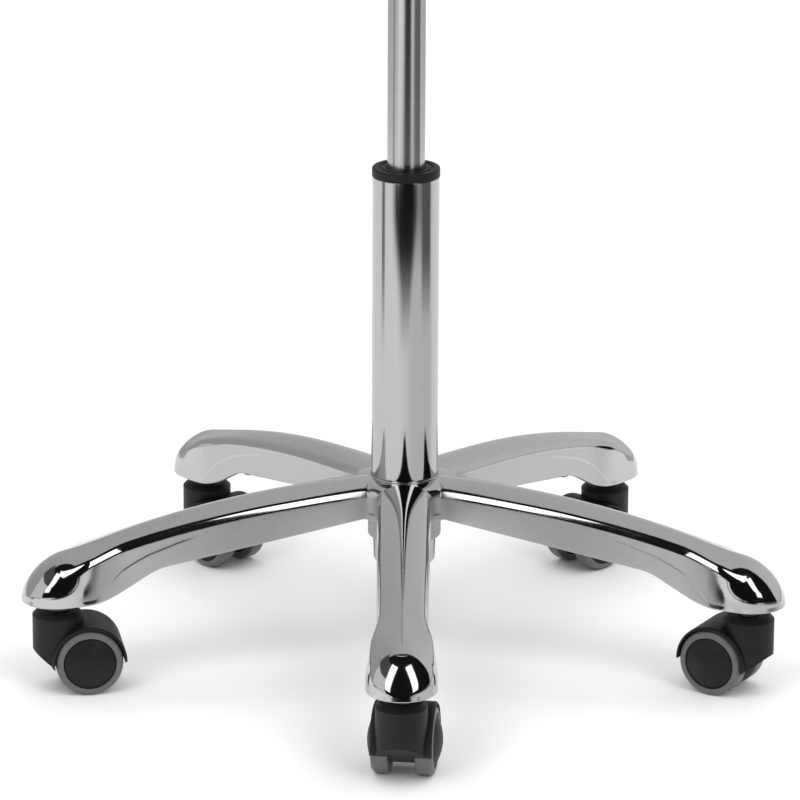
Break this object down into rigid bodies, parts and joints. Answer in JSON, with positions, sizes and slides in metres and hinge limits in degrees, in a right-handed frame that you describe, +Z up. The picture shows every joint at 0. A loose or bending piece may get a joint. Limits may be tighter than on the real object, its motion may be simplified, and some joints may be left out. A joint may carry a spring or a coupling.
{
  "type": "gas-lift stool",
  "caption": "Round gas-lift stool: padded swivel seat on a chromed telescopic column, polished star base and twin-wheel casters.",
  "frame": {"origin": "on the floor under the column's axis", "axes": "+Z up along the column, -Y along the first arm, +X towards the lever"},
  "size_m": [0.5652, 0.5395, 0.7177],
  "materials": {
    "polished_aluminium": "polished",
    "chromed_steel": "polished",
    "satin_steel": "satin",
    "zinc_steel": "zinc plated",
    "bearing_steel": "ground",
    "black_nylon": "moulded",
    "grey_polyurethane": "moulded",
    "bumper_rubber": "moulded",
    "black_painted_steel": "powder coated",
    "plywood": "black stained",
    "seat_foam": "open cell",
    "black_leatherette": "grained"
  },
  "bodies": {
    "base": {"star_base": "polished_aluminium", "column_tube": "chromed_steel", "guide_bush": "black_nylon", "tube_end_plate": "zinc_steel", "bearing_lower_washer": "bearing_steel", "caster_stem_1": "zinc_steel", "caster_stem_2": "zinc_steel", "caster_stem_3": "zinc_steel", "caster_stem_4": "zinc_steel", "caster_stem_5": "zinc_steel", "stem_grip_rings": "zinc_steel"},
    "piston": {"piston_rod": "bearing_steel", "piston": "black_nylon", "bearing_balls": "bearing_steel", "bearing_upper_washer": "bearing_steel", "rod_clip": "zinc_steel", "rod_bumper": "bumper_rubber"},
    "seat": {"gas_cylinder": "satin_steel", "cylinder_seal": "black_nylon", "seat_plate": "black_painted_steel", "lever_pivot_pin": "zinc_steel", "seat_board": "plywood", "seat_foam": "seat_foam", "seat_cover": "black_leatherette", "seat_bolts": "zinc_steel", "board_nuts": "zinc_steel"},
    "lever": {"lever_arm": "zinc_steel", "lever_grip": "black_nylon"},
    "release": {"release_pin": "bearing_steel"},
    "caster_1": {"caster_hood_1": "black_nylon", "caster_axle_1": "zinc_steel"},
    "wheel_1_left": {"wheel_core_1_left": "black_nylon", "wheel_tread_1_left": "grey_polyurethane"},
    "wheel_1_right": {"wheel_core_1_right": "black_nylon", "wheel_tread_1_right": "grey_polyurethane"},
    "caster_2": {"caster_hood_2": "black_nylon", "caster_axle_2": "zinc_steel"},
    "wheel_2_left": {"wheel_core_2_left": "black_nylon", "wheel_tread_2_left": "grey_polyurethane"},
    "wheel_2_right": {"wheel_core_2_right": "black_nylon", "wheel_tread_2_right": "grey_polyurethane"},
    "caster_3": {"caster_hood_3": "black_nylon", "caster_axle_3": "zinc_steel"},
    "wheel_3_left": {"wheel_core_3_left": "black_nylon", "wheel_tread_3_left": "grey_polyurethane"},
    "wheel_3_right": {"wheel_core_3_right": "black_nylon", "wheel_tread_3_right": "grey_polyurethane"},
    "caster_4": {"caster_hood_4": "black_nylon", "caster_axle_4": "zinc_steel"},
    "wheel_4_left": {"wheel_core_4_left": "black_nylon", "wheel_tread_4_left": "grey_polyurethane"},
    "wheel_4_right": {"wheel_core_4_right": "black_nylon", "wheel_tread_4_right": "grey_polyurethane"},
    "caster_5": {"caster_hood_5": "black_nylon", "caster_axle_5": "zinc_steel"},
    "wheel_5_left": {"wheel_core_5_left": "black_nylon", "wheel_tread_5_left": "grey_polyurethane"},
    "wheel_5_right": {"wheel_core_5_right": "black_nylon", "wheel_tread_5_right": "grey_polyurethane"}
  },
  "joints": [
    {"name": "seat_swivel", "type": "hinge", "parent": "base", "child": "piston", "pos_m": [0, 0, 0.0847], "axis": [0, 0, 1], "continuous": true},
    {"name": "seat_lift", "type": "slide", "parent": "piston", "child": "seat", "axis": [0, 0, 1], "range_m": [-0.19, 0]},
    {"name": "lever_tilt", "type": "hinge", "parent": "seat", "child": "lever", "pos_m": [0.025, 0, 0.6167], "axis": [0, -1, 0], "range_deg": [0, 7], "stiffness_Nm_per_rad": 5},
    {"name": "release_press", "type": "slide", "parent": "seat", "child": "release", "axis": [0, 0, -1], "range_m": [0, 0.0035]},
    {"name": "caster_1_swivel", "type": "hinge", "parent": "base", "child": "caster_1", "pos_m": [0, -0.269, 0.06], "axis": [0, 0, 1], "continuous": true},
    {"name": "wheel_1_left_spin", "type": "hinge", "parent": "caster_1", "child": "wheel_1_left", "pos_m": [0.0026, -0.24786, 0.025], "axis": [-0.9925, 0.1219, 0], "continuous": true},
    {"name": "wheel_1_right_spin", "type": "hinge", "parent": "caster_1", "child": "wheel_1_right", "pos_m": [0.0026, -0.24786, 0.025], "axis": [0.9925, -0.1219, 0], "continuous": true},
    {"name": "caster_2_swivel", "type": "hinge", "parent": "base", "child": "caster_2", "pos_m": [0.25583, -0.08313, 0.06], "axis": [0, 0, 1], "continuous": true},
    {"name": "wheel_2_left_spin", "type": "hinge", "parent": "caster_2", "child": "wheel_2_left", "pos_m": [0.23739, -0.07248, 0.025], "axis": [-0.5, -0.866, 0], "continuous": true},
    {"name": "wheel_2_right_spin", "type": "hinge", "parent": "caster_2", "child": "wheel_2_right", "pos_m": [0.23739, -0.07248, 0.025], "axis": [0.5, 0.866, 0], "continuous": true},
    {"name": "caster_3_swivel", "type": "hinge", "parent": "base", "child": "caster_3", "pos_m": [0.15811, 0.21763, 0.06], "axis": [0, 0, 1], "continuous": true},
    {"name": "wheel_3_left_spin", "type": "hinge", "parent": "caster_3", "child": "wheel_3_left", "pos_m": [0.14305, 0.20256, 0.025], "axis": [0.7071, -0.7071, 0], "continuous": true},
    {"name": "wheel_3_right_spin", "type": "hinge", "parent": "caster_3", "child": "wheel_3_right", "pos_m": [0.14305, 0.20256, 0.025], "axis": [-0.7071, 0.7071, 0], "continuous": true},
    {"name": "caster_4_swivel", "type": "hinge", "parent": "base", "child": "caster_4", "pos_m": [-0.15811, 0.21763, 0.06], "axis": [0, 0, 1], "continuous": true},
    {"name": "wheel_4_left_spin", "type": "hinge", "parent": "caster_4", "child": "wheel_4_left", "pos_m": [-0.14359, 0.20205, 0.025], "axis": [0.7314, 0.682, 0], "continuous": true},
    {"name": "wheel_4_right_spin", "type": "hinge", "parent": "caster_4", "child": "wheel_4_right", "pos_m": [-0.14359, 0.20205, 0.025], "axis": [-0.7314, -0.682, 0], "continuous": true},
    {"name": "caster_5_swivel", "type": "hinge", "parent": "base", "child": "caster_5", "pos_m": [-0.25583, -0.08313, 0.06], "axis": [0, 0, 1], "continuous": true},
    {"name": "wheel_5_left_spin", "type": "hinge", "parent": "caster_5", "child": "wheel_5_left", "pos_m": [-0.23486, -0.07943, 0.025], "axis": [-0.1736, 0.9848, 0], "continuous": true},
    {"name": "wheel_5_right_spin", "type": "hinge", "parent": "caster_5", "child": "wheel_5_right", "pos_m": [-0.23486, -0.07943, 0.025], "axis": [0.1736, -0.9848, 0], "continuous": true}
  ],
  "couplings": [
    {"joint": "release_press", "follows": "lever_tilt", "m_per_rad": 0.025}
  ]
}
